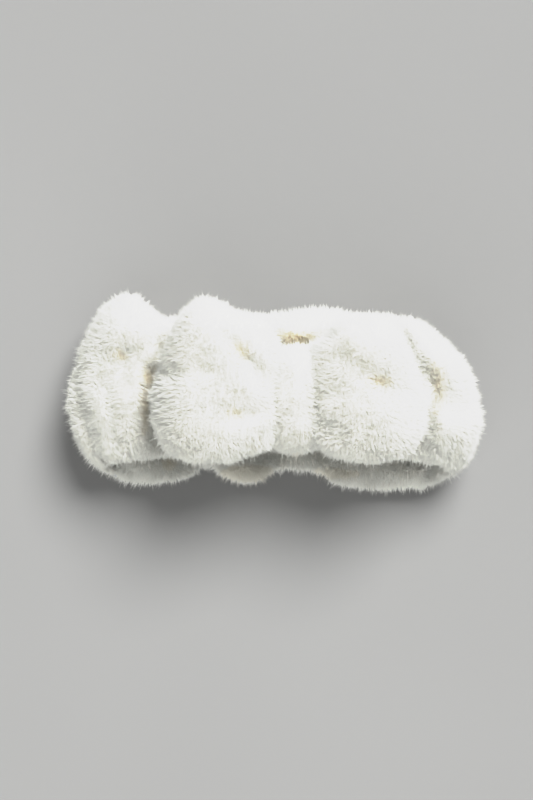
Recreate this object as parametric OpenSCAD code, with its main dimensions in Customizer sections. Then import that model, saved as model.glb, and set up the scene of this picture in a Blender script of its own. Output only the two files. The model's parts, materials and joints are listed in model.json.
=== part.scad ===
// Plush spa headband with a bow, lying flat and folded in two layers.
// +X runs along the band, +Y across its width, +Z up from the surface it lies on.
// The origin is the middle of the footprint. The ring opens by bending at six lines, and its
// elastic lets the two ends of each layer draw away from the middle.

/* [Band] */
// Width of the band lying flat, from fold to fold
flat_w = 236; // [228:2:244]
// Thickness of one plush layer of the band
layer_t = 18; // [16:1:18]
// Space between the front and rear layers
layer_gap = 6; // [5:0.5:6]
// Distance of the bending lines from the middle
bend_x = 52; // [50:1:54]
// How far each bending line turns when the ring is opened
open_angle = 62; // [50:1:62]
// How far each quarter of the ring stretches
stretch = 20; // [10:1:20]

/* [Knot and bow] */
// Place of the knot along the band
knot_x = 14; // [10:1:16]
// Width of the knot strip
knot_w = 29; // [25:1:29]
// Reach of the left bow lobe from the middle of the knot
left_reach = 87; // [80:1:88]
// Reach of the right bow lobe from the middle of the knot
right_reach = 78; // [72:1:80]
// Height of the bow above the front layer
bow_h = 33.5; // [30:0.5:34]
// Thickness of the plush with its pile
pile_t = 8; // [6:0.5:8]

/* [Elastic] */
// Width of the flat elastic
elastic_w = 25; // [20:1:28]
// Thickness of the flat elastic
elastic_t = 1.2; // [0.8:0.1:1.4]

/* [Hidden] */
$fn = 72;

// Gaps
run_gap = 0.35;    // between pieces that move on each other
fit_gap = 0.2;     // between pieces held together in one body
cut_over = 1;      // how far a cutting shape runs past what it cuts

// Heights and places along the band
roll_r = layer_t / 2;
rear_z = roll_r;
front_low = layer_t + layer_gap;
front_z = front_low + roll_r;
front_top = front_low + layer_t;
fold_z = layer_t + layer_gap / 2;
fold_x = flat_w / 2 - roll_r;
nose_x = flat_w / 2 - fold_z;
bend_end = bend_x - 6;          // where a length of sleeve stops short of its bending line
rear_mid = 8;                   // half length of the middle of the rear sleeve

// Edges of the layers across the band: [low, high]
rear_mid_y = [-47, 46];
rear_left_y = [-52, 48];
rear_right_y = [-55.5, 48];
lower_left_y = [-50, 45];
lower_right_y = [-54, 44];
upper_left_y = [-40, 55.5];
upper_right_y = [-41, 44];
front_left_y = [-38, 51];
front_right_y = [-40, 45];
corner_r = 26;                  // round of the band's four outer corners, seen from above
elastic_y = [-2 - elastic_w / 2, -2 + elastic_w / 2];
tongue_x = bend_x - 12;         // where the elastic of a middle length ends
inner_x = bend_x - roll_r + 2;  // where the elastic of a side length starts
puff_r = 16;                    // round of the puff beside the bow on the left
puff_x = fold_x - puff_r;

// Knot: a strip wound round the front sleeve and the waist of the bow
knot_y = [-38, 27];
tunnel_y = [knot_y[0] + pile_t, knot_y[1] - pile_t];
tunnel_z = [front_low + 3.5, front_top + 20.5];
knot_top = front_top + 30;
knot_crown_r = 28;
knot_r = 14;
sleeve_waist = [[tunnel_y[0] + 2, tunnel_y[1] - 2], [tunnel_z[0] + 0.5, front_top + 0.8]];
bow_waist_box = [[tunnel_y[0] + 3, tunnel_y[1] - 3], [front_top + 3, front_top + 19]];
thread_t = 1.1;
thread_w = 5;
label_t = 0.8;

// Bow lobes
lobe_floor = front_top + 0.5;
lobe_hinge_z = front_top + 11;
lobe_roll_r = 8;
lobe_hinge_d = knot_w / 2 + 1 + lobe_roll_r;    // from the middle of the knot
left_lobe_y = [-44, 54];
right_lobe_y = [-42, 45];
// Shape of a lobe outward of its hinge: [part of its reach, part of its spread,
// underside and top as parts of its height]
LOBE = [[0.17, 0.50, 0.02, 0.80], [0.38, 0.86, 0, 0.97], [0.60, 1, 0, 1], [0.80, 0.95, 0.02, 0.90],
        [0.93, 0.74, 0.12, 0.68], [1, 0.42, 0.30, 0.46]];
SECTION_STEPS = 28;

function between(a, b, t) = a + (b - a) * t;
function blunt(v) = sign(v) * pow(abs(v), 0.8);
// A rounded section across the band at x, from y[0] to y[1] and z[0] to z[1]
function section(x, y, z) = [for (i = [0:SECTION_STEPS - 1])
    let (a = 360 * i / SECTION_STEPS)
    [x, between(y[0], y[1], (1 + blunt(cos(a))) / 2), between(z[0], z[1], (1 + blunt(sin(a))) / 2)]];

// A closed skin over a row of sections
module skin(sections) {
    n = SECTION_STEPS;
    last = len(sections) - 1;
    points = [for (s = sections) each s];
    sides = [for (k = [0:last - 1], i = [0:n - 1])
        let (a = k * n + i, b = k * n + (i + 1) % n) each [[a, b, b + n], [a, b + n, a + n]]];
    first_cap = [[for (i = [n - 1:-1:0]) i]];
    last_cap = [[for (i = [0:n - 1]) last * n + i]];
    polyhedron(points, concat(sides, first_cap, last_cap), convexity = 4);
}

module on_side(side) {
    if (side < 0) mirror([1, 0, 0]) children();
    else children();
}

// A flat outline in X and Z, given thickness across the band
module across(y) {
    translate([0, y[1], 0]) rotate([90, 0, 0]) linear_extrude(y[1] - y[0]) children();
}

// A tube along X with half-round long edges
module tube(x, y, z) {
    r = (z[1] - z[0]) / 2;
    translate([x[0], 0, 0]) rotate([90, 0, 90]) linear_extrude(x[1] - x[0]) union() {
        translate([y[0] + r, z[0]]) square([y[1] - y[0] - 2 * r, 2 * r]);
        for (edge = [y[0] + r, y[1] - r]) translate([edge, z[0] + r]) circle(r);
    }
}

// A bar along X with all four long edges rounded
module rounded_bar(x, y, z, r) {
    translate([x[0], 0, 0]) rotate([90, 0, 90]) linear_extrude(x[1] - x[0]) union() {
        translate([y[0] + r, z[0]]) square([y[1] - y[0] - 2 * r, z[1] - z[0]]);
        translate([y[0], z[0] + r]) square([y[1] - y[0], z[1] - z[0] - 2 * r]);
        for (a = [y[0] + r, y[1] - r], b = [z[0] + r, z[1] - r]) translate([a, b]) circle(r);
    }
}

// The strip of space that a side length turns through at a bending line
module bend_room(centre_z, angle) {
    reach = roll_r + run_gap;
    strip = reach - 0.05;
    translate([bend_x, centre_z]) {
        circle(reach);
        rotate(angle) translate([0, -strip]) square([3 * layer_t, 2 * strip]);
    }
}

// The flat channel that the elastic runs in
module elastic_channel(x, centre_z) {
    half = elastic_t / 2 + fit_gap;
    translate([x[0], elastic_y[0] - fit_gap, centre_z - half])
        cube([x[1] - x[0], elastic_w + 2 * fit_gap, 2 * half]);
}

module elastic_length(x, centre_z) {
    translate([x[0], elastic_y[0], centre_z - elastic_t / 2])
        cube([x[1] - x[0], elastic_w, elastic_t]);
}

// The rounded outer corners of the band seen from above
module band_corners(y) {
    x0 = bend_x - layer_t;
    x1 = flat_w / 2;
    translate([0, 0, -cut_over]) linear_extrude(2 * knot_top) union() {
        translate([x0, y[0]]) square([x1 - x0 - corner_r, y[1] - y[0]]);
        translate([x0, y[0] + corner_r]) square([x1 - x0, y[1] - y[0] - 2 * corner_r]);
        for (c = [y[0] + corner_r, y[1] - corner_r]) translate([x1 - corner_r, c]) circle(corner_r);
    }
}

// A length of sleeve between the middle and a bending line
module inner_sleeve(x0, y, low, bend_way) {
    centre_z = low + roll_r;
    difference() {
        tube([x0, bend_end], y, [low, low + layer_t]);
        across([y[0] - cut_over, y[1] + cut_over]) bend_room(centre_z, bend_way * open_angle);
        elastic_channel([x0 - cut_over, bend_x], centre_z);
    }
}

module lower_outline() {
    translate([bend_x, rear_z]) circle(roll_r);
    translate([bend_x, 0]) square([nose_x - bend_x + cut_over, layer_t]);
    intersection() {
        translate([nose_x, fold_z]) circle(fold_z);
        translate([nose_x, 0]) square([fold_x - nose_x, fold_z - run_gap / 2]);
    }
    translate([fold_x, fold_z]) circle(roll_r);
}

module upper_outline(puff) {
    block_low = fold_z + run_gap / 2;
    difference() {
        union() {
            translate([bend_x, front_z]) circle(roll_r);
            translate([bend_x, front_low]) square([nose_x - bend_x + cut_over, layer_t]);
            intersection() {
                translate([nose_x, fold_z]) circle(fold_z);
                translate([nose_x, block_low]) square([fold_x - nose_x, fold_z]);
            }
            if (puff) intersection() {
                translate([puff_x, front_top + 8 - puff_r]) circle(puff_r);
                translate([puff_x - puff_r, front_low]) square([2 * puff_r, 2 * puff_r]);
            }
        }
        translate([fold_x, fold_z]) circle(roll_r + run_gap);
    }
}

// A tall tube whose far side is left square, to round the outer long edges of a side length
module edge_round(y, z) {
    tube([bend_x - layer_t, flat_w / 2 + cut_over], y, z);
}

module side_lower(y) {
    difference() {
        intersection() {
            across(y) lower_outline();
            edge_round(y, [0, 2 * fold_z - 4]);
            band_corners(y);
        }
        elastic_channel([bend_x - layer_t, nose_x + 4], rear_z);
    }
}

module side_upper(y, puff) {
    difference() {
        intersection() {
            across(y) upper_outline(puff);
            edge_round(y, [4, front_top + (puff ? 8 : 0)]);
            band_corners(y);
        }
        elastic_channel([bend_x - layer_t, nose_x + 2], front_z);
    }
}

// The front sleeve narrows where the knot gathers it
module front_narrowing(x0, y) {
    waist = sleeve_waist[0];
    low = y[0] - cut_over;
    high = y[1] + cut_over;
    far_x = bend_x + layer_t;
    translate([0, 0, -cut_over]) linear_extrude(knot_top) polygon([
        [x0 - cut_over, waist[0]], [bend_x - 14, low], [far_x, low],
        [far_x, high], [bend_x - 14, high], [x0 - cut_over, waist[1]]]);
}

module front_length(side, y) {
    x0 = side * knot_x + knot_w / 2 + 0.8;
    intersection() {
        inner_sleeve(x0, y, front_low, -1);
        front_narrowing(x0, y);
    }
}

// A row of stitches, each a short bar of thread, along Y
module stitch_row(y, count, size) {
    step = (y[1] - y[0]) / count;
    for (i = [0:count - 1]) translate([-size[0] / 2, y[0] + step * (i + 0.2), 0])
        cube([size[0], step * 0.6, size[1]]);
}

// Sections of a lobe from its widening outward, drawn in by inset from its outer shape
function lobe_body(reach, y, inset) =
    let (waist = bow_waist_box[0], length = reach - lobe_hinge_d - inset)
    [for (s = LOBE) let (side = s[0] < 0.9 ? inset : inset * 0.2)
        section(lobe_hinge_d + length * s[0],
                [between(waist[0], y[0], s[1]) + inset, between(waist[1], y[1], s[1]) - inset],
                [lobe_floor + bow_h * s[2] + side * 0.75, lobe_floor + bow_h * s[3] - side])];

// Sections of the round end that a lobe turns on, beside the knot
LOBE_START_ANGLES = [20:22:86];
function lobe_start() =
    let (waist = bow_waist_box[0])
    [for (a = LOBE_START_ANGLES) let (out = lobe_roll_r * cos(a), half = lobe_roll_r * sin(a))
        section(lobe_hinge_d - out, [waist[0] + out / 2, waist[1] - out / 2],
                [lobe_hinge_z - half, lobe_hinge_z + half])];

// Sections of the throat at the waist end, where the filling was put in
function lobe_throat() =
    let (x = lobe_hinge_d - lobe_roll_r * cos(20))
    [for (along = [0, lobe_roll_r * 1.8])
        section(x + along, [-11, -3], [lobe_hinge_z - 1.5, lobe_hinge_z + 1.5])];

function backwards(rows) = [for (i = [len(rows) - 1:-1:0]) rows[i]];

// One skin that runs in along the cavity, round the throat's mouth and out along the outside
module bow_cover(reach, y) {
    inside = concat(lobe_throat(), lobe_body(reach, y, pile_t));
    outside = concat(lobe_start(), lobe_body(reach, y, 0));
    skin(concat(backwards(inside), outside));
}

module bow_filling(reach, y) {
    skin(lobe_body(reach, y, pile_t + fit_gap));
}

// ---- the pieces ----

module rear_sleeve_centre() {
    color("ivory") difference() {
        tube([-rear_mid, rear_mid], rear_mid_y, [0, layer_t]);
        elastic_channel([-rear_mid - cut_over, rear_mid + cut_over], rear_z);
    }
}

module rear_elastic() {
    color("white") elastic_length([-tongue_x + 4, tongue_x - 4], rear_z);
}

module centre_back_seam() {
    color("gainsboro") translate([0, 0, layer_t]) stitch_row([-36, 36], 18, [0.6, 0.3]);
}

module rear_sleeve(side, y) {
    color("ivory") on_side(side) inner_sleeve(rear_mid + run_gap, y, 0, 1);
}

module side_sleeve_lower(side, y) {
    color("floralwhite") difference() {
        on_side(side) side_lower(y);
        if (side < 0) label_tab(fit_gap);
    }
}

module side_sleeve_upper(side, y) {
    color("seashell") on_side(side) side_upper(y, side < 0);
}

module side_elastic(side, centre_z) {
    color("white") on_side(side) elastic_length([inner_x, nose_x + 1], centre_z);
}

// A folded tab sewn into the edge of the sleeve, or the slot it sits in
module label_tab(grow) {
    translate([-flat_w / 2 + 26, lower_left_y[0] + 9.5, layer_t - 5.5]) rotate([0, 0, -35])
        translate([-5 - grow, -8 - grow, -grow])
            cube([10 + 2 * grow, 8 + 2 * grow, label_t + 2 * grow]);
}

module care_label() {
    color("lightsteelblue") label_tab(0);
}

module front_sleeve(side, y) {
    color("ivory") on_side(side) front_length(side, y);
}

module front_sleeve_centre() {
    half = knot_w / 2;
    color("ivory") difference() {
        tube([knot_x - half, knot_x + half], sleeve_waist[0], sleeve_waist[1]);
        elastic_channel([knot_x - half - cut_over, knot_x + half + cut_over], front_z);
    }
}

module front_elastic() {
    color("white") elastic_length([-tongue_x, tongue_x], front_z);
}

module bow_waist() {
    half = knot_w / 2;
    color("snow") tube([knot_x - half, knot_x + half], bow_waist_box[0], bow_waist_box[1]);
}

module bow_waist_thread() {
    y = bow_waist_box[0];
    z = bow_waist_box[1];
    gap = fit_gap / 2;
    color("gainsboro") difference() {
        grown_tube(thread_w, y, z, gap + thread_t);
        grown_tube(thread_w + cut_over, y, z, gap);
    }
}

module grown_tube(width, y, z, by) {
    tube([knot_x - width / 2, knot_x + width / 2], [y[0] - by, y[1] + by], [z[0] - by, z[1] + by]);
}

module knot_wrap() {
    half = knot_w / 2;
    color("white") intersection() {
        difference() {
            rounded_bar([knot_x - half, knot_x + half], knot_y, [front_low, knot_top], knot_r);
            rounded_bar([knot_x - half - cut_over, knot_x + half + cut_over], tunnel_y, tunnel_z,
                        knot_r - pile_t);
        }
        translate([knot_x, knot_y[1] + cut_over, knot_top - knot_crown_r]) rotate([90, 0, 0])
            cylinder(r = knot_crown_r, h = knot_y[1] - knot_y[0] + 2 * cut_over);
    }
}

module knot_closing_stitches() {
    color("gainsboro") translate([knot_x, 0, front_low - 0.3]) stitch_row([-18, 4], 8, [0.6, 0.3]);
}

module bow_cover_side(side, reach, y) {
    color("white") translate([knot_x, 0, 0]) on_side(side) bow_cover(reach, y);
}

module bow_filling_side(side, reach, y) {
    color("whitesmoke") translate([knot_x, 0, 0]) on_side(side) bow_filling(reach, y);
}

rear_sleeve_centre();
rear_elastic();
centre_back_seam();
rear_sleeve(-1, rear_left_y);  // rear_sleeve_left
rear_sleeve(1, rear_right_y);  // rear_sleeve_right
side_sleeve_lower(-1, lower_left_y);  // side_sleeve_lower_left
side_sleeve_lower(1, lower_right_y);  // side_sleeve_lower_right
side_elastic(-1, rear_z);  // side_elastic_lower_left
side_elastic(1, rear_z);  // side_elastic_lower_right
care_label();
side_sleeve_upper(-1, upper_left_y);  // side_sleeve_upper_left
side_sleeve_upper(1, upper_right_y);  // side_sleeve_upper_right
side_elastic(-1, front_z);  // side_elastic_upper_left
side_elastic(1, front_z);  // side_elastic_upper_right
front_sleeve(-1, front_left_y);  // front_sleeve_left
front_sleeve(1, front_right_y);  // front_sleeve_right
front_sleeve_centre();
front_elastic();
bow_waist();
bow_waist_thread();
knot_wrap();
knot_closing_stitches();
bow_cover_side(-1, left_reach, left_lobe_y);  // bow_cover_left
bow_cover_side(1, right_reach, right_lobe_y);  // bow_cover_right
bow_filling_side(-1, left_reach, left_lobe_y);  // bow_filling_left
bow_filling_side(1, right_reach, right_lobe_y);  // bow_filling_right
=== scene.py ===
import json
import math

import bpy
import numpy as np
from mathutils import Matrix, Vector


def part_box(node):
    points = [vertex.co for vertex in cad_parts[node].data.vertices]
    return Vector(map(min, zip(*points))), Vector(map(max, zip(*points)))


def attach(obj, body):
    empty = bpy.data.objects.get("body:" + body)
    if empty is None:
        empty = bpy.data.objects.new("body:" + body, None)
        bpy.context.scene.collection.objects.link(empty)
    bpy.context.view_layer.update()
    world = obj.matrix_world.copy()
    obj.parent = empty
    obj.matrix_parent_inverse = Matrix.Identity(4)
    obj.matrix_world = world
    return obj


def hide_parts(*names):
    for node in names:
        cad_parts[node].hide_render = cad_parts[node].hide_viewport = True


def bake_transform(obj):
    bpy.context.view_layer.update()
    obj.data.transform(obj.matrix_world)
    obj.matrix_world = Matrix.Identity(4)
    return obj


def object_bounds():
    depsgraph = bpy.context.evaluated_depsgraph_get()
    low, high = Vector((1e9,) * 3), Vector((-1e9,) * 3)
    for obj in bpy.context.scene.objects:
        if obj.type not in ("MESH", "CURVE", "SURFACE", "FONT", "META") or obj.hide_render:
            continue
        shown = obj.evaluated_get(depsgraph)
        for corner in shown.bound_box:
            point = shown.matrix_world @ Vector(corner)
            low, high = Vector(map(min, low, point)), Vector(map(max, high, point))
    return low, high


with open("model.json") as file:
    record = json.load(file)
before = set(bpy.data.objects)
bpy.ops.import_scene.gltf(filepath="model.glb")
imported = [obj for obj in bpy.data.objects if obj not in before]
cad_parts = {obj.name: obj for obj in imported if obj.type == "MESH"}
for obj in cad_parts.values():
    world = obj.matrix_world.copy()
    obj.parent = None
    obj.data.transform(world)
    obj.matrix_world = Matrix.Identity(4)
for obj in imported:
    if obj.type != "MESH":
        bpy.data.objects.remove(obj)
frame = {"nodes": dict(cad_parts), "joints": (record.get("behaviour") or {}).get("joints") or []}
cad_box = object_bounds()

# Shapes are worked out in millimetres, in the CAD frame, and turned to metres in make_piece().
MM = 0.001
TAU = 2 * math.pi

# ---------------------------------------------------------------- places from the frame

joints = {j["name"]: j for j in frame["joints"]}


def joint_place(name):
    """A joint's position in the CAD frame, in millimetres."""
    return np.array(joints[name]["pos_m"]) / MM


def node_box(name):
    """A CAD node's lowest and highest corner, in millimetres."""
    low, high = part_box(name)
    return np.array(low) / MM, np.array(high) / MM


REAR_MID = sum(corner[2] for corner in node_box("rear_sleeve_centre")) / 2
FRONT_MID = sum(corner[2] for corner in node_box("front_sleeve_left")) / 2
FOLD_MID = (REAR_MID + FRONT_MID) / 2
BEND_X = joint_place("right_rear_bend")[0]
HALF_WIDTH = np.array(cad_box[1])[0] / MM
KNOT_LOW, KNOT_HIGH = node_box("knot_wrap")
KNOT_X = (KNOT_LOW[0] + KNOT_HIGH[0]) / 2

TIPS = 3.0             # how far loose tips stand out of the dense body of the pile
BODY = REAR_MID - TIPS      # half thickness of the flat tube of fabric with that dense body
NOSE_R = FOLD_MID - REAR_MID        # the fold's turn, at the middle of the fabric
RUN = HALF_WIDTH - NOSE_R - REAR_MID   # where each flat run ends and the fold begins
NOSE = math.pi * NOSE_R

# ---------------------------------------------------------------- small tools


def ripple(points, wavelength, seed, waves=9):
    """Smooth noise of about -1 to 1 at points, from waves in seeded directions."""
    rng = np.random.default_rng(seed)
    points = np.atleast_2d(points)
    total = np.zeros(len(points))
    for _ in range(waves):
        direction = rng.normal(size=points.shape[1])
        direction /= np.linalg.norm(direction)
        pitch = TAU / wavelength * rng.uniform(0.6, 1.5)
        total += np.cos(points @ direction * pitch + rng.uniform(0, TAU))
    return total / math.sqrt(waves)


def ease(t):
    """Rises smoothly from 0 to 1 as t does."""
    t = np.clip(t, 0, 1)
    return t * t * (3 - 2 * t)


def table(x, rows, column):
    """Reads a column of given rows at x, rounding the corners between the rows."""
    xs = np.array([r[0] for r in rows], float)
    ys = np.array([r[column] for r in rows], float)
    reach = 2.5
    shifts = (-1, -0.5, 0, 0.5, 1)
    return sum(np.interp(x + shift * reach, xs, ys) for shift in shifts) / len(shifts)


def power(v, p):
    """v to the power p, with v's own sign: below 1 it squares a section, above 1 it points it."""
    return np.sign(v) * np.abs(v) ** p


def crease(x, y, start, end, width):
    """1 on the line from start to end and falling to 0 about width away from it."""
    a, b = np.array(start, float), np.array(end, float)
    d = b - a
    t = np.clip(((x - a[0]) * d[0] + (y - a[1]) * d[1]) / (d @ d), 0, 1)
    dx, dy = x - a[0] - t * d[0], y - a[1] - t * d[1]
    return np.exp(-(dx * dx + dy * dy) / (width * width))


def mound(x, y, centre, radii):
    """1 at the centre and falling to 0 beyond the radii."""
    dx, dy = (x - centre[0]) / radii[0], (y - centre[1]) / radii[1]
    return np.exp(-(dx * dx + dy * dy))


# ---------------------------------------------------------------- surfaces


class Surface:
    """A closed tube of fabric: a grid of points, rows along it and columns round it."""

    def __init__(self, grid):
        self.grid = grid
        along = np.gradient(grid, axis=0)
        around = (np.roll(grid, -1, 1) - np.roll(grid, 1, 1)) / 2
        normal = np.cross(along, around)
        self.normal = normal / np.maximum(np.linalg.norm(normal, axis=2, keepdims=True), 1e-9)
        middle = grid.mean(axis=1, keepdims=True)
        if ((grid - middle) * self.normal).sum() < 0:
            self.normal = -self.normal

    def sample(self, count, density, rng):
        """Random places on the surface, as positions and normals."""
        grid, columns = self.grid, self.grid.shape[1]
        beside = np.roll(grid, -1, 1)
        area = np.linalg.norm(np.cross(grid[1:] - grid[:-1], beside[:-1] - grid[:-1]), axis=2)
        centre = (grid[1:] + grid[:-1] + beside[1:] + beside[:-1]) / 4
        facing = self.normal[:-1]
        weight = area * density(centre.reshape(-1, 3), facing.reshape(-1, 3)).reshape(area.shape)
        pick = rng.choice(weight.size, size=count, p=(weight / weight.sum()).ravel())
        i, j = np.divmod(pick, columns)
        a, b = rng.uniform(size=count)[:, None], rng.uniform(size=count)[:, None]
        k = (j + 1) % columns

        def mixed(v):
            near, far = (v[i, c] * (1 - a) + v[i + 1, c] * a for c in (j, k))
            return near * (1 - b) + far * b

        normal = mixed(self.normal)
        normal /= np.linalg.norm(normal, axis=1, keepdims=True)
        return mixed(grid), normal


DRAWN_TO = 0.55        # how thick a tube still is at its very end
END_REACH = 3.0        # how far from its end it starts to draw in


def closing(rows, length, reach=END_REACH):
    """The share of its thickness that each row keeps, so that a tube's two ends are rounded."""
    t = np.arange(rows) / (rows - 1) * length
    end = np.minimum(t, length - t) / reach
    return np.sqrt(1 - (1 - np.clip(end, 0, 1)) ** 2) * (1 - DRAWN_TO) + DRAWN_TO


# ---------------------------------------------------------------- the band

# Edges of the band by distance from the middle, with its pile: low and high edge across it
REAR_LEFT = [(0, -47.5, 46), (10, -54.5, 47), (19, -54.5, 46), (30, -49, 45), (37, -43, 43), (42, -45, 43),
             (48, -51, 44), (60, -53.5, 44), (75, -54.5, 45), (90, -53, 48), (110, -53, 50)]
REAR_RIGHT = [(0, -47.5, 46), (12, -46.5, 48), (24, -47.5, 50), (32, -49.5, 50), (40, -55.5, 49),
              (55, -58, 47), (70, -58.5, 47), (82, -57, 45), (95, -57, 44), (110, -56, 42)]
FRONT_LEFT = [(-16, -28, 24), (0, -31, 29), (12, -36, 38), (30, -38, 42), (58, -38, 43), (66, -38, 44.5),
              (76, -39, 53), (86, -40, 57.5), (95, -41, 58), (103, -41, 57), (110, -41, 55)]
FRONT_RIGHT = [(2, -26, 24), (28, -29, 29), (40, -36, 38), (60, -38, 42), (80, -39, 44), (92, -41, 44),
               (110, -43, 42)]
# How far out the fold reaches at each place across the band
END_LEFT = [(-56, 88), (-48, 98), (-40, 108), (-33, 114), (-25, 117), (-10, 119.5), (0, 119.5), (8, 117.5),
            (16, 115), (28, 111), (36, 107), (44, 104), (52, 99), (58, 92)]
END_RIGHT = [(-60, 93), (-55, 102), (-50, 110), (-40, 116.5), (-30, 119), (-20, 120), (-12, 120), (0, 117.5),
             (14, 114), (25, 105), (34, 96.5), (43, 85), (50, 77)]


GATHER_PITCH = 11      # from one gathered ridge to the next
THINNEST = 1.5         # of the fabric on one side of the middle line, in its deepest crease
ROUNDED_OVER = 22      # length of the flat run over which the fold's corners are rounded


def band_path(s):
    """The band's middle line from the rear's middle, round the fold and back along the front."""
    turn = np.clip((s - RUN) / NOSE_R, 0, math.pi)
    x = np.where(s < RUN, s, np.where(s > RUN + NOSE, 2 * RUN + NOSE - s, RUN + NOSE_R * np.sin(turn)))
    z = FOLD_MID - NOSE_R * np.cos(turn)
    out_x, out_z = np.sin(turn), -np.cos(turn)
    return x, z, out_x, out_z


def gathers(s, y, side):
    """Ridges across the band where the elastic gathers it, strongest near the fold."""
    near = np.exp(-((s - RUN - NOSE * 0.55) / 19) ** 2)
    low = ease((20 - y) / 40)
    strength = near * (0.3 + 1.3 * low) * (1.0 if side < 0 else 0.4) + 0.12
    drift = 2.6 * ripple(np.stack([s * 0.4, y], -1).reshape(-1, 2), 55, 11 + side).reshape(s.shape)
    wave = np.cos(TAU * (s + drift + 0.10 * y) / GATHER_PITCH)
    return strength * (power(wave, 0.8) - 0.2)


def front_relief(x, y, side):
    """Mounds and creases of the front layer beside the bow, in millimetres."""
    if side < 0:
        return (8.5 * mound(x, y, (-88, 41), (19, 17)) + 7 * mound(x, y, (-79, -8), (13, 30))
                + 4.5 * mound(x, y, (-98, -4), (12, 34))
                - 4 * crease(x, y, (-91, 19), (-83, 25), 3.5) - 4 * crease(x, y, (-70, 12), (-76, -20), 4))
    return (11 * mound(x, y, (96, 18), (24, 24)) + 12 * mound(x, y, (102, -25), (22, 26))
            - 3 * crease(x, y, (82, 32), (99, -8), 6))


def rear_relief(x, y, side):
    """The rear layer's upper face: it swells behind the knot and where its lower edge sticks out."""
    behind = 15 * mound(x, y, (15, 41), (40, 12)) + 5 * mound(x, y, (KNOT_X + 1, 32), (16, 7))
    if side < 0:
        return (behind + 8 * mound(x, y, (-76, -43), (18, 14)) + 5 * mound(x, y, (-18, -45), (14, 12))
                + 4 * mound(x, y, (-102, -38), (14, 14)))
    return (behind + 6 * mound(x, y, (62, -46), (26, 13)) + 9 * mound(x, y, (100, -47), (20, 12)))


def band(s0, s1, side, columns=112, step=1.7):
    """A length of the band's fabric tube between two distances along its path, on one side."""
    rows = max(6, int((s1 - s0) / step))
    s = np.linspace(s0, s1, rows)[:, None] * np.ones((1, columns))
    a = np.linspace(0, TAU, columns, endpoint=False)[None, :] * np.ones((rows, 1))
    x, z, out_x, out_z = band_path(s)
    rear, front = (REAR_LEFT, FRONT_LEFT) if side < 0 else (REAR_RIGHT, FRONT_RIGHT)
    share = ease((s - RUN) / NOSE)
    # on the front run the table is read by distance from the middle, which may be past it
    low = table(x, rear, 1) * (1 - share) + table(x, front, 1) * share
    high = table(x, rear, 2) * (1 - share) + table(x, front, 2) * share
    low, high = low + TIPS, high - TIPS
    y = (low + high) / 2 + (high - low) / 2 * power(np.cos(a), 0.72)
    # the face that lies on the table is rounder: the rear layer isn't pressed flat to its edges
    lift = power(np.sin(a), np.where(np.sin(a) > 0, 0.6 + 0.3 * (1 - share), 0.6))
    ridge = gathers(s, y, side)
    # front layer: the outer face looks up; rear layer: the inner face does
    out = BODY + 1.6 * ridge + np.maximum(out_z, 0) * front_relief(side * x, y, side) * np.abs(lift)
    inner = BODY - 0.4 * ridge * (1 - share) + np.maximum(-out_z, 0) * rear_relief(side * x, y, side)
    inner = np.minimum(inner, NOSE_R - 2 + np.maximum(RUN - s, 0))
    thick = lift * np.maximum(np.where(lift > 0, out, inner), THINNEST)
    y = y + 1.5 * ridge * power(np.cos(a), 3)
    thick = thick * closing(rows, s1 - s0)[:, None]
    grid = np.stack([x + out_x * thick, y, z + out_z * thick], -1)
    # the fold's corners are round, seen from above
    ends = END_LEFT if side < 0 else END_RIGHT
    start = RUN - ROUNDED_OVER
    past = np.maximum(grid[..., 0] - start, 0) / (HALF_WIDTH - TIPS - start)
    grid[..., 0] = np.minimum(grid[..., 0], start) + past * (table(y, ends, 1) - TIPS - start)
    grid[..., 0] *= side
    return Surface(grid)


# ---------------------------------------------------------------- the bow

# Outline of each lobe with its pile: place along the band, low edge, high edge, underside, top
LOBE_LEFT = [(6, -26, 16, 46, 66), (1, -29, 31, 45, 70), (-4, -32, 39, 44, 72.5), (-12, -35.5, 44, 43, 74.5),
             (-23, -38.5, 47, 42.5, 76), (-31, -39.5, 52, 42.5, 76), (-38, -39.8, 53.5, 42.5, 76),
             (-45, -39.5, 53, 42.5, 76), (-51, -38.5, 47, 42.5, 75), (-57, -36.5, 36, 42.5, 72),
             (-62, -33, 24, 43, 68), (-66, -27, 12, 44, 64), (-68.5, -19, 5, 46, 60), (-70, -11, -2, 50, 55)]
LOBE_RIGHT = [(22, -25, 17, 46, 66), (26, -29, 26, 45, 70), (31, -34, 33, 44, 72.5),
              (38, -37.5, 38, 43, 74.5), (46, -38.5, 42.5, 42.5, 76), (54, -39, 44.5, 42.5, 76),
              (62, -39.3, 43, 42.5, 75), (69, -39.3, 38.5, 42.5, 74), (75, -38, 30, 42.5, 71),
              (80, -35, 18, 43, 68), (84, -31, 8, 44, 65), (87.5, -24, -1, 46, 61),
              (89.5, -16, -8, 50, 56)]


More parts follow.
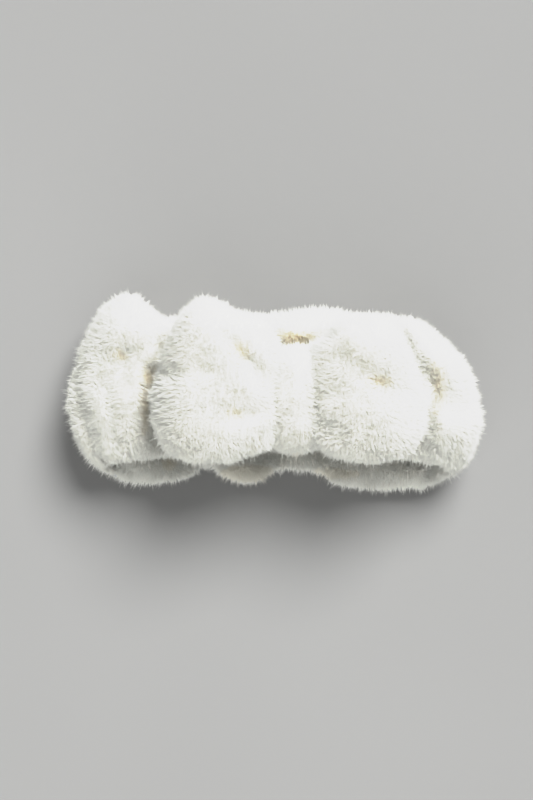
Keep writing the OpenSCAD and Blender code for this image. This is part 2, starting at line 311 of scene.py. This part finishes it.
def lobe_relief(x, y, side):
    """Mounds and creases on the upper face of a lobe, in millimetres."""
    from_knot = np.hypot(x - KNOT_X, (y + 5) * 0.8)
    heading = np.arctan2(y + 5, np.abs(x - KNOT_X))
    pleats = 0.9 * np.cos(heading * 7 + 1.2 * side) * np.exp(-((from_knot - 22) / 11) ** 2)
    if side < 0:
        return (pleats + 2 * mound(x, y, (-42, 34), (18, 14)) + 2.5 * mound(x, y, (-44, -18), (24, 20))
                - 2.4 * crease(x, y, (-25, 29), (-12, 15), 5) - 3.5 * crease(x, y, (-72, 9), (-58, 11), 4.5)
                - 2 * crease(x, y, (-58, 11), (-38, 12), 6)
                - 2.6 * mound(x, y, (-20, -12), (10, 7)))
    return (pleats + 2 * mound(x, y, (66, 26), (18, 15)) + 2.5 * mound(x, y, (66, -20), (20, 16))
            - 2.4 * crease(x, y, (40, 22), (62, 6), 6.5) - 1.4 * crease(x, y, (55, -2), (55, -18), 4)
            - 1.2 * crease(x, y, (62, 3), (84, 0), 8))


def lobe(rows_table, side, inset=TIPS, columns=104, step=1.5):
    """A stuffed lobe, from inside the knot to its round outer end."""
    x0, x1 = rows_table[0][0], rows_table[-1][0]
    x_end = x1 - side * inset * 0.8
    rows = int(abs(x_end - x0) / step)
    t = np.linspace(0, 1, rows)
    reach = (np.sin(t * math.pi / 2) ** 1.05)[:, None] * np.ones((1, columns))
    ordered = sorted(rows_table)
    x = x0 + (x1 - x0) * reach
    a = np.linspace(0, TAU, columns, endpoint=False)[None, :] * np.ones((rows, 1))
    low, high, under, top = (table(x, ordered, c) for c in (1, 2, 3, 4))
    half_y = np.maximum((high - low) / 2 - inset, 1.5)
    half_z = np.maximum((top - under) / 2 - inset, 1.2)
    gather = 1 + 0.06 * np.cos(7 * a + 1.3 * side) * np.exp(-((np.abs(x - x0) - 9) / 9) ** 2)
    half_y, half_z = half_y * gather, half_z * gather
    y = (high + low) / 2 + half_y * power(np.cos(a), 0.7)
    lift = power(np.sin(a), 0.62)
    z = (top + under) / 2 + half_z * lift
    relief = lobe_relief(x, y, side)
    z = z + np.maximum(lift, 0) ** 0.5 * relief * ease(np.abs(x - x0) / 16)
    edge = 1.3 * ripple(np.stack([x, y], -1).reshape(-1, 2), 19, 31 + side).reshape(x.shape)
    y = y + edge * power(np.cos(a), 3)
    x = x0 + (x_end - x0) * reach
    return Surface(np.stack([x, y, z], -1))


def knot_strip(columns=72, rows=120):
    """The strip wound round the bow's waist: a flat pleated tube bent into a closed ring."""
    half = (KNOT_HIGH[0] - KNOT_LOW[0]) / 2 - TIPS
    low, high = KNOT_LOW + TIPS + 3, KNOT_HIGH - TIPS - 4
    low[1] += 3.5          # pulled tight round the band's lower edge, so it sits back from the lobes
    low[2] = KNOT_LOW[2] + 2.5
    centre = (low + high) / 2
    ring = np.linspace(0, TAU, rows + 1)[:, None] * np.ones((1, columns))
    a = np.linspace(0, TAU, columns, endpoint=False)[None, :] * np.ones((rows + 1, 1))
    y_ring = centre[1] + (high[1] - low[1]) / 2 * power(np.cos(ring), 0.6)
    z_ring = centre[2] + (high[2] - low[2]) / 2 * power(np.sin(ring), 0.6)
    out = np.stack([np.cos(ring) / (high[1] - low[1]), np.sin(ring) / (high[2] - low[2])], -1)
    out /= np.linalg.norm(out, axis=2, keepdims=True)
    x = half * power(np.cos(a), 0.8)
    pleat = 0.15 * np.cos(x * TAU / 9.5 + 0.9 * np.sin(ring * 2)) * (np.sin(a) > 0)
    crown = 2.2 * (1 - (x / half) ** 2)
    h = np.where(np.sin(a) > 0, power(np.sin(a), 0.6) * (1.4 + crown + pleat), np.sin(a) * 1.4)
    grid = np.stack([KNOT_X + x, y_ring + out[..., 0] * h, z_ring + out[..., 1] * h], -1)
    return Surface(grid)


# ---------------------------------------------------------------- pile

TUFT_FACES = [(0, 1, 3), (1, 2, 3), (2, 0, 3), (0, 2, 1)]
TUFT_TONE = (0.0, 0.0, 0.0, 1.0)
TUFT_UV = ((0.03, 0.05), (0.5, 0.05), (0.97, 0.05), (0.5, 0.95))
BASE_SHARE = 0.3       # part of the texture square that the body takes; the tufts have the rest
SHADES = 8             # steps of fleck, and of painted crease shade, that the tufts come in

# Painted shade: a warm tan painted into creases, hollows and under the bow, where shade falls: centre, radii,
# how much
PAINTED_CREASE_SHADE = [((KNOT_X + 1, 31.5, 28), (11, 5, 14), 0.6), ((-71, 9, 50), (5, 5, 14), 1.0),
            ((-74, -6, 44), (3, 14, 10), 0.45), ((-87, 22, 46), (4, 3, 8), 0.7),
            ((-19, 23, 68), (6, 6, 8), 0.3), ((-21, -12, 72), (7, 5, 6), 0.14),
            ((60, 7, 72), (7, 4, 8), 0.35), ((96, 4, 50), (4, 16, 12), 0.25),
            ((-61, -41, 30), (4, 4, 14), 0.6),
            ((5, -47, 20), (85, 9, 22), 0.1), ((KNOT_X, -36, 42), (13, 6, 22), 0.15)]


def painted_shade(points):
    """How strongly painted crease shade tints each point, from 0 to 1."""
    total = np.zeros(len(points))
    for centre, radii, much in PAINTED_CREASE_SHADE:
        away = (points - centre) / radii
        total = np.maximum(total, much * np.exp(-(away * away).sum(1)))
    return total


def clump_middle(root, seed, size=2.8):
    """The middle of the clump that each tuft belongs to: fibres cling together in small locks."""
    warp = np.stack([ripple(root, 7, seed + 30 + k) for k in range(3)], 1) * 1.3
    cell = np.floor((root + warp) / size).astype(np.int64)
    key = (cell[:, 0] * 4096 + cell[:, 1]) * 4096 + cell[:, 2]
    _, member, total = np.unique(key, return_inverse=True, return_counts=True)
    middle = np.stack([np.bincount(member, root[:, k]) for k in range(3)], 1) / total[:, None]
    return middle[member]


def tufts(surface, count, seed, density, length, comb=(0, -0.25, 0), floor=0.25, width=0.26):
    """Tapered, leaning tufts on a surface: their points and normals, each one's random fleck and its step of
    painted crease shade.
    """
    rng = np.random.default_rng(seed)
    root, normal = surface.sample(count, density, rng)
    size = length(root, normal) * rng.uniform(0.6, 1.15, count) * (1 + 0.12 * ripple(root, 9, seed + 20))
    size[rng.uniform(size=count) < 0.14] *= 1.5
    sway = np.stack([ripple(root, 26, seed + k) for k in range(3)], 1) * 0.25
    lean = np.array(comb) + sway + rng.normal(size=(count, 3)) * 0.28
    lean -= normal * (lean * normal).sum(1, keepdims=True)
    way = normal * 0.85 + lean
    way /= np.linalg.norm(way, axis=1, keepdims=True)
    side_a = np.cross(way, rng.normal(size=(count, 3)))
    side_a /= np.linalg.norm(side_a, axis=1, keepdims=True)
    side_b = np.cross(way, side_a)
    root = root - normal * 0.5
    thick = width * rng.uniform(0.75, 1.25, count)[:, None]
    points = np.empty((count, 4, 3))
    outward = np.zeros((count, 4, 3))
    for k in range(3):
        turn = TAU * k / 3
        outward[:, k] = side_a * math.cos(turn) + side_b * math.sin(turn)
        points[:, k] = root + outward[:, k] * thick
    tip = root + way * (size[:, None] + 0.5)
    centre = clump_middle(root, seed) + normal * size[:, None]
    points[:, 3] = tip + (centre - tip) * rng.uniform(0.25, 0.7, (count, 1))
    points[..., 2] = np.maximum(points[..., 2], floor + rng.uniform(0, 0.5, (count, 1)))
    # light scatters between the fibres, so the pile shades flatter than its backing does
    soft = normal[:, None, :] * 0.38 + outward * 0.55 + way[:, None, :] * 0.1 + np.array((0, 0, 0.36))
    soft /= np.linalg.norm(soft, axis=2, keepdims=True)
    fleck = rng.integers(0, SHADES, count)
    # painted shade: the step of warm tan each tuft gets in creases and hollows
    crease_shade = np.clip(np.round(painted_shade(root) * (SHADES - 1)), 0, SHADES - 1).astype(int)
    return points, soft, fleck, crease_shade


def make_piece(name, surface, hair, materials):
    """One mesh object: the backing's closed tube with its ends capped, and every tuft on it."""
    grid = surface.grid
    rows, columns = grid.shape[:2]
    ring = np.arange(columns)
    i = np.arange(rows - 1)[:, None] * columns
    quads = np.stack([i + ring, i + np.roll(ring, -1), i + columns + np.roll(ring, -1),
                      i + columns + ring], -1).reshape(-1, 4)
    base = grid.reshape(-1, 3)
    first, last = len(base), len(base) + 1
    end = (rows - 1) * columns
    caps = np.concatenate([
        np.stack([np.full(columns, first), np.roll(ring, -1), ring], -1),
        np.stack([np.full(columns, last), end + ring, end + np.roll(ring, -1)], -1)])
    base = np.concatenate([base, [grid[0].mean(0), grid[-1].mean(0)]])
    # faces wind so that they point outward
    a, b, c = base[quads[0, 0]], base[quads[0, 1]], base[quads[0, 3]]
    if np.cross(b - a, c - a) @ surface.normal[0, 0] < 0:
        quads, caps = quads[:, ::-1], caps[:, ::-1]
    base_normals = np.concatenate([surface.normal.reshape(-1, 3), surface.normal[0, :1],
                                   surface.normal[-1, :1]])

    points, normals, fleck, crease_shade = hair
    count = len(points)
    offset = len(base)
    start = offset + np.arange(count)[:, None] * 4
    tuft = np.concatenate([start + np.array(f) for f in TUFT_FACES], 1).ravel()
    tuft_sizes = np.full(count * len(TUFT_FACES), 3)
    loops = np.concatenate([quads.ravel(), caps.ravel(), tuft])
    sizes = np.concatenate([np.full(len(quads), 4), np.full(len(caps), 3), tuft_sizes])
    verts = np.concatenate([base, points.reshape(-1, 3)]) * MM

    me = bpy.data.meshes.new(name)
    me.vertices.add(len(verts))
    me.vertices.foreach_set("co", verts.astype(np.float32).ravel())
    me.loops.add(len(loops))
    me.loops.foreach_set("vertex_index", loops.astype(np.int32))
    me.polygons.add(len(sizes))
    me.polygons.foreach_set("loop_start", np.concatenate([[0], np.cumsum(sizes)[:-1]]).astype(np.int32))
    me.polygons.foreach_set("material_index", np.concatenate([
        np.zeros(len(quads) + len(caps)), np.ones(len(tuft_sizes))]).astype(np.int32))
    me.update(calc_edges=True)
    me.polygons.foreach_set("use_smooth", np.ones(len(sizes), bool))
    step = SHADES - 1
    # the last of these attributes carries painted shade in creases and hollows
    for label, on_base, on_tufts in (("tone", np.full(len(base), 0.4), np.tile(TUFT_TONE, count)),
                                     ("fleck", np.full(len(base), 0.5), np.repeat(fleck / step, 4)),
                                     ("crease_shade", painted_shade(base), np.repeat(crease_shade / step, 4))):
        shade = me.attributes.new(label, "FLOAT", "POINT")
        shade.data.foreach_set("value", np.concatenate([on_base, on_tufts]).astype(np.float32))
    lay_out(me, rows, columns, quads, caps, fleck, crease_shade)
    all_normals = np.concatenate([base_normals, normals.reshape(-1, 3)])
    me.normals_split_custom_set_from_vertices(all_normals.astype(np.float32))
    for m in materials:
        me.materials.append(m)
    ob = bpy.data.objects.new(name, me)
    bpy.context.scene.collection.objects.link(ob)
    return ob


def lay_out(me, rows, columns, quads, caps, fleck, crease_shade):
    """Lays the body along the foot of the texture square; tufts of one fleck and one step of painted shade
    share one cell above.
    """
    row, column = np.divmod(quads, columns)
    base_uv = np.stack([row / (rows - 1), column / columns * BASE_SHARE], -1)
    wrap = base_uv[..., 1].max(1) - base_uv[..., 1].min(1) > BASE_SHARE / 2
    base_uv[..., 1] = np.where(wrap[:, None] & (base_uv[..., 1] < BASE_SHARE / 2),
                               BASE_SHARE, base_uv[..., 1])
    cap_uv = np.zeros(caps.shape + (2,)) + [0.999, 0.001]
    cell = np.array([1, 1 - BASE_SHARE - 0.02]) / SHADES
    corner = np.stack([fleck * cell[0], BASE_SHARE + 0.01 + crease_shade * cell[1]], -1)
    local = np.array([TUFT_UV[k] for face in TUFT_FACES for k in face]) * cell
    tuft_uv = corner[:, None, :] + local[None]
    uv = np.concatenate([base_uv.reshape(-1, 2), cap_uv.reshape(-1, 2), tuft_uv.reshape(-1, 2)])
    layer = me.uv_layers.new(name="OFBake")
    layer.data.foreach_set("uv", uv.astype(np.float32).ravel())


# ---------------------------------------------------------------- materials


def new_material(name, roughness):
    m = bpy.data.materials.new(name)
    m.use_nodes = True
    nodes = m.node_tree.nodes
    shader = nodes["Principled BSDF"]
    shader.inputs["Roughness"].default_value = roughness
    shader.inputs["Specular IOR Level"].default_value = 0.15
    return m, nodes, m.node_tree.links, shader


def noise_node(nodes, links, scale, detail=3.0):
    place = nodes.new("ShaderNodeTexCoord")
    noise = nodes.new("ShaderNodeTexNoise")
    noise.inputs["Scale"].default_value = scale
    noise.inputs["Detail"].default_value = detail
    links.new(place.outputs["Object"], noise.inputs["Vector"])
    return noise


def ramp_node(nodes, links, source, stops):
    ramp = nodes.new("ShaderNodeValToRGB")
    points = ramp.color_ramp.elements
    while len(points) < len(stops):
        points.new(0.5)
    for element, (where, colour) in zip(points, stops):
        element.position = where
        element.color = (*colour, 1)
    links.new(source, ramp.inputs["Fac"])
    return ramp


ROOT_COLOUR = (0.95, 0.93, 0.87)
TIP_COLOUR = (0.975, 0.985, 0.925)
# painted shade: a warm tan painted where shade falls in creases and hollows
PAINTED_SHADE_COLOUR = (0.84, 0.68, 0.38)


def mixed(nodes, links, blend, factor, a, b):
    """A colour mix; each of factor, a and b is a socket or a plain value."""
    mix = nodes.new("ShaderNodeMix")
    mix.data_type = "RGBA"
    mix.blend_type = blend
    for socket, value in ((mix.inputs["Factor"], factor), (mix.inputs["A"], a), (mix.inputs["B"], b)):
        if isinstance(value, bpy.types.NodeSocket):
            links.new(value, socket)
        else:
            socket.default_value = value
    return mix.outputs["Result"]


def reading(nodes, label):
    node = nodes.new("ShaderNodeAttribute")
    node.attribute_name = label
    return node.outputs["Fac"]


def pile_material():
    """Long white pile: creamy at the foot, white at the tip, uneven from tuft to tuft, with painted warm
    shade in creases and hollows.
    """
    m, nodes, links, shader = new_material("plush_pile", 0.8)
    ramp = ramp_node(nodes, links, reading(nodes, "tone"), [(0.0, ROOT_COLOUR), (0.7, TIP_COLOUR)])
    fleck = ramp_node(nodes, links, reading(nodes, "fleck"),
                      [(0.0, (0.965, 0.96, 0.94)), (1.0, (1.0, 1.0, 1.0))])
    colour = mixed(nodes, links, "MULTIPLY", 1.0, ramp.outputs["Color"], fleck.outputs["Color"])
    # painted shade: warm tan mixed in where shade falls in creases and hollows
    colour = mixed(nodes, links, "MIX", reading(nodes, "crease_shade"), colour, (*PAINTED_SHADE_COLOUR, 1))
    links.new(colour, shader.inputs["Base Color"])
    shader.inputs["Sheen Weight"].default_value = 0.3
    shader.inputs["Sheen Roughness"].default_value = 0.5
    return m


def body_material():
    """The dense body of the pile, seen between the tips: matted fibres, with painted warm shade in creases
    and hollows.
    """
    m, nodes, links, shader = new_material("plush_body", 0.9)
    fibres = noise_node(nodes, links, 1100, 4)
    ramp = ramp_node(nodes, links, fibres.outputs["Fac"],
                     [(0.3, (0.93, 0.91, 0.84)), (0.7, (0.965, 0.965, 0.915))])
    # painted shade: warm tan mixed in where shade falls in creases and hollows
    colour = mixed(nodes, links, "MIX", reading(nodes, "crease_shade"), ramp.outputs["Color"],
                   (*PAINTED_SHADE_COLOUR, 1))
    links.new(colour, shader.inputs["Base Color"])
    bump = nodes.new("ShaderNodeBump")
    bump.inputs["Strength"].default_value = 0.4
    bump.inputs["Distance"].default_value = 0.0006
    links.new(fibres.outputs["Fac"], bump.inputs["Height"])
    links.new(bump.outputs["Normal"], shader.inputs["Normal"])
    return m


def woven_material(name, colours, pitch, roughness, axis="X"):
    """A woven or twisted yarn: ribs across it, a finer grain, and uneven colour."""
    m, nodes, links, shader = new_material(name, roughness)
    place = nodes.new("ShaderNodeTexCoord")
    rib = nodes.new("ShaderNodeTexWave")
    rib.bands_direction = axis
    rib.inputs["Scale"].default_value = 0.05 / (pitch * MM)
    rib.inputs["Distortion"].default_value = 0.6
    rib.inputs["Detail"].default_value = 2
    links.new(place.outputs["Object"], rib.inputs["Vector"])
    grain = noise_node(nodes, links, 2500, 3)
    ribs = ramp_node(nodes, links, rib.outputs["Fac"], [(0.1, colours[0]), (0.8, colours[1])])
    specks = ramp_node(nodes, links, grain.outputs["Fac"],
                       [(0.35, (0.9, 0.9, 0.9)), (0.65, (1.0, 1.0, 1.0))])
    links.new(mixed(nodes, links, "MULTIPLY", 1.0, ribs.outputs["Color"], specks.outputs["Color"]),
              shader.inputs["Base Color"])
    bump = nodes.new("ShaderNodeBump")
    bump.inputs["Strength"].default_value = 0.7
    bump.inputs["Distance"].default_value = 0.0003
    links.new(rib.outputs["Fac"], bump.inputs["Height"])
    links.new(bump.outputs["Normal"], shader.inputs["Normal"])
    return m


def wadding_material():
    """Polyester wadding: white, matted and lumpy."""
    m, nodes, links, shader = new_material("wadding", 0.95)
    wisps = noise_node(nodes, links, 260, 6)
    ramp = ramp_node(nodes, links, wisps.outputs["Fac"],
                     [(0.3, (0.80, 0.80, 0.78)), (0.7, (0.93, 0.93, 0.92))])
    links.new(ramp.outputs["Color"], shader.inputs["Base Color"])
    bump = nodes.new("ShaderNodeBump")
    bump.inputs["Strength"].default_value = 0.8
    bump.inputs["Distance"].default_value = 0.0015
    links.new(wisps.outputs["Fac"], bump.inputs["Height"])
    links.new(bump.outputs["Normal"], shader.inputs["Normal"])
    return m


# ---------------------------------------------------------------- building

PLUSH = [body_material(), pile_material()]


def upward(centre, facing):
    """The band's density of pile: less inside the ring and where it lies on the table."""
    return 0.25 + 0.75 * ease((facing[:, 2] + 0.55) / 0.7)


def all_round(centre, facing):
    """The bow's density of pile: more even, because every side of it is seen."""
    return 0.45 + 0.55 * ease((facing[:, 2] + 0.8) / 0.9)


def pile_length(full):
    """Full length on top, and matted shorter underneath."""
    return lambda root, normal: full * (0.72 + 0.28 * ease((normal[:, 2] + 0.6) / 0.8))


def plush(name, surface, count, seed, density=upward, full=TIPS + 1.6, comb=(0, -0.25, 0)):
    hair = tufts(surface, count, seed, density, pile_length(full), comb)
    ob = make_piece(name, surface, hair, PLUSH)
    return ob


ELASTIC = woven_material("braided_elastic", ((0.62, 0.61, 0.58), (0.86, 0.85, 0.82)), 1.4, 0.7)
THREAD = woven_material("sewing_thread", ((0.78, 0.76, 0.70), (0.93, 0.92, 0.88)), 0.5, 0.6, "Y")
LABEL = woven_material("satin_label", ((0.38, 0.42, 0.62), (0.55, 0.60, 0.78)), 0.35, 0.45)
WADDING = wadding_material()


def dress(name, material):
    """Gives a CAD node that stays a finished material."""
    for slot in frame["nodes"][name].material_slots:
        slot.material = material


def wadding(name, surface, seed):
    """The loose stuffing inside a lobe, as lumpy as it is when pulled apart and pushed in."""
    lumps = 1.4 * ripple(surface.grid.reshape(-1, 3), 14, seed).reshape(surface.grid.shape[:2] + (1,))
    none = np.empty((0, 4, 3)), np.empty((0, 4, 3)), np.empty(0, int), np.empty(0, int)
    ob = make_piece(name, Surface(surface.grid + surface.normal * lumps), none, [WADDING])
    return ob


WAD_INSET = 9.5        # how far inside the lobe's outline the stuffing lies
FRONT_START = RUN + NOSE
BLEND_HALF = 14        # half the length over which fabric bends at a bending line
REAR_SPLIT = BEND_X - BLEND_HALF - 1
LAP = 4                # how far a length of band runs on inside the next one
FRONT_SPLIT = FRONT_START + RUN - (BEND_X - BLEND_HALF - 1)
PAST_KNOT = 12         # how far the right front runs on past the knot's middle

for side, word in ((-1, "left"), (1, "right")):
    rear_body, front_body = f"rear_{word}", f"front_{word}"

    rear = plush(f"band_rear_{word}", band(-2, REAR_SPLIT + LAP, side), 30000, 100 + side)
    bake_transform(rear)
    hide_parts("rear_sleeve_centre", f"rear_sleeve_{word}")

    bend = plush(f"band_bend_{word}", band(REAR_SPLIT, RUN + LAP, side), 38000, 110 + side)
    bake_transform(bend)
    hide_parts(f"side_sleeve_lower_{word}")

    fold = plush(f"band_fold_{word}", band(RUN - LAP, FRONT_START + LAP, side), 38000, 120 + side)
    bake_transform(fold)

    top = plush(f"band_top_{word}", band(FRONT_START - LAP, FRONT_SPLIT + LAP, side), 44000, 130 + side)
    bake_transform(top)
    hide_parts(f"side_sleeve_upper_{word}")

    front_end = FRONT_START + RUN - side * KNOT_X + (0 if side < 0 else PAST_KNOT)
    front = plush(f"band_front_{word}", band(FRONT_SPLIT, front_end, side), 26000, 140 + side)
    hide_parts(f"front_sleeve_{word}", "front_sleeve_centre")
    if side < 0:
        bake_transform(front)
    else:
        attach(front, front_body)

    rows = LOBE_LEFT if side < 0 else LOBE_RIGHT
    bow = plush(f"bow_lobe_{word}", lobe(rows, side), 45000, 150 + side, all_round)
    wad = wadding(f"bow_wad_{word}", lobe(rows, side, WAD_INSET), 170 + side)
    for piece in (bow, wad):
        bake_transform(piece)
    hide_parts(f"bow_cover_{word}", "bow_waist")
    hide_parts(f"bow_filling_{word}")

knot = plush("knot_strip", knot_strip(), 24000, 160, all_round)
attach(knot, "front")
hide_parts("knot_wrap")

for name in ("rear_elastic", "side_elastic_lower_left", "side_elastic_lower_right", "side_elastic_upper_left",
             "side_elastic_upper_right", "front_elastic"):
    dress(name, ELASTIC)
for name in ("centre_back_seam", "knot_closing_stitches", "bow_waist_thread"):
    dress(name, THREAD)
dress("care_label", LABEL)

# ---------------------------------------------------------------- floor, light and camera


def stage():
    size = 12.0
    me = bpy.data.meshes.new("floor")
    me.from_pydata([(-size, -size, 0), (size, -size, 0), (size, size, 0), (-size, size, 0)], [],
                   [(0, 1, 2, 3)])
    floor = bpy.data.objects.new("floor", me)
    bpy.context.scene.collection.objects.link(floor)
    m, nodes, links, shader = new_material("pale_floor", 0.9)
    grain = noise_node(nodes, links, 3, 2)
    ramp = ramp_node(nodes, links, grain.outputs["Fac"],
                     [(0.3, (0.290, 0.289, 0.284)), (0.7, (0.304, 0.303, 0.298))])
    links.new(ramp.outputs["Color"], shader.inputs["Base Color"])
    me.materials.append(m)


def lamp(name, toward, energy, spread):
    sun = bpy.data.lights.new(name, "SUN")
    sun.energy = energy
    sun.angle = math.radians(spread)
    ob = bpy.data.objects.new(name, sun)
    ob.rotation_mode = "QUATERNION"
    ob.rotation_quaternion = Vector(toward).to_track_quat("Z", "Y")
    bpy.context.scene.collection.objects.link(ob)


def lights():
    """A wide softbox behind and to the right, a weak reflector facing it, and pale walls."""
    lamp("softbox", (0.40, 0.76, 0.90), 5.3, 34)
    lamp("reflector", (-0.25, -0.75, 0.60), 1.25, 75)
    world = bpy.data.worlds.new("room")
    world.use_nodes = True
    nodes, links = world.node_tree.nodes, world.node_tree.links
    heading = nodes.new("ShaderNodeTexCoord")
    height = nodes.new("ShaderNodeSeparateXYZ")
    links.new(heading.outputs["Generated"], height.inputs["Vector"])
    walls = ramp_node(nodes, links, height.outputs["Z"],
                      [(0.0, (0.72, 0.72, 0.71)), (0.15, (0.66, 0.66, 0.65)), (0.5, (0.19, 0.195, 0.20))])
    links.new(walls.outputs["Color"], nodes["Background"].inputs["Color"])
    bpy.context.scene.world = world


def camera():
    """Straight above, as far back as a portrait lens needs to take in the same field."""
    data = bpy.data.cameras.new("camera")
    data.lens = 85
    data.sensor_width = 36
    field = 0.4648         # height of the picture at the middle of the object, in metres
    ob = bpy.data.objects.new("camera", data)
    ob.location = (-0.0029, -0.0041, data.lens / data.sensor_width * field + 0.04)
    bpy.context.scene.collection.objects.link(ob)
    bpy.context.scene.camera = ob


def soft_shoulder():
    """A camera's tone curve: white pile in full light keeps its texture instead of burning out."""
    view = bpy.context.scene.view_settings
    view.view_transform = "Standard"
    view.use_curve_mapping = True
    view.curve_mapping.use_clip = False
    curve = view.curve_mapping.curves[3]    # the one for all three colours together
    curve.points[1].location = (1.5, 0.88)
    for scene_light, shown in ((0.25, 0.235), (0.5, 0.5), (0.7, 0.73), (1.0, 0.83)):
        curve.points.new(scene_light, shown)
    view.curve_mapping.update()


stage()
lights()
camera()
soft_shoulder()
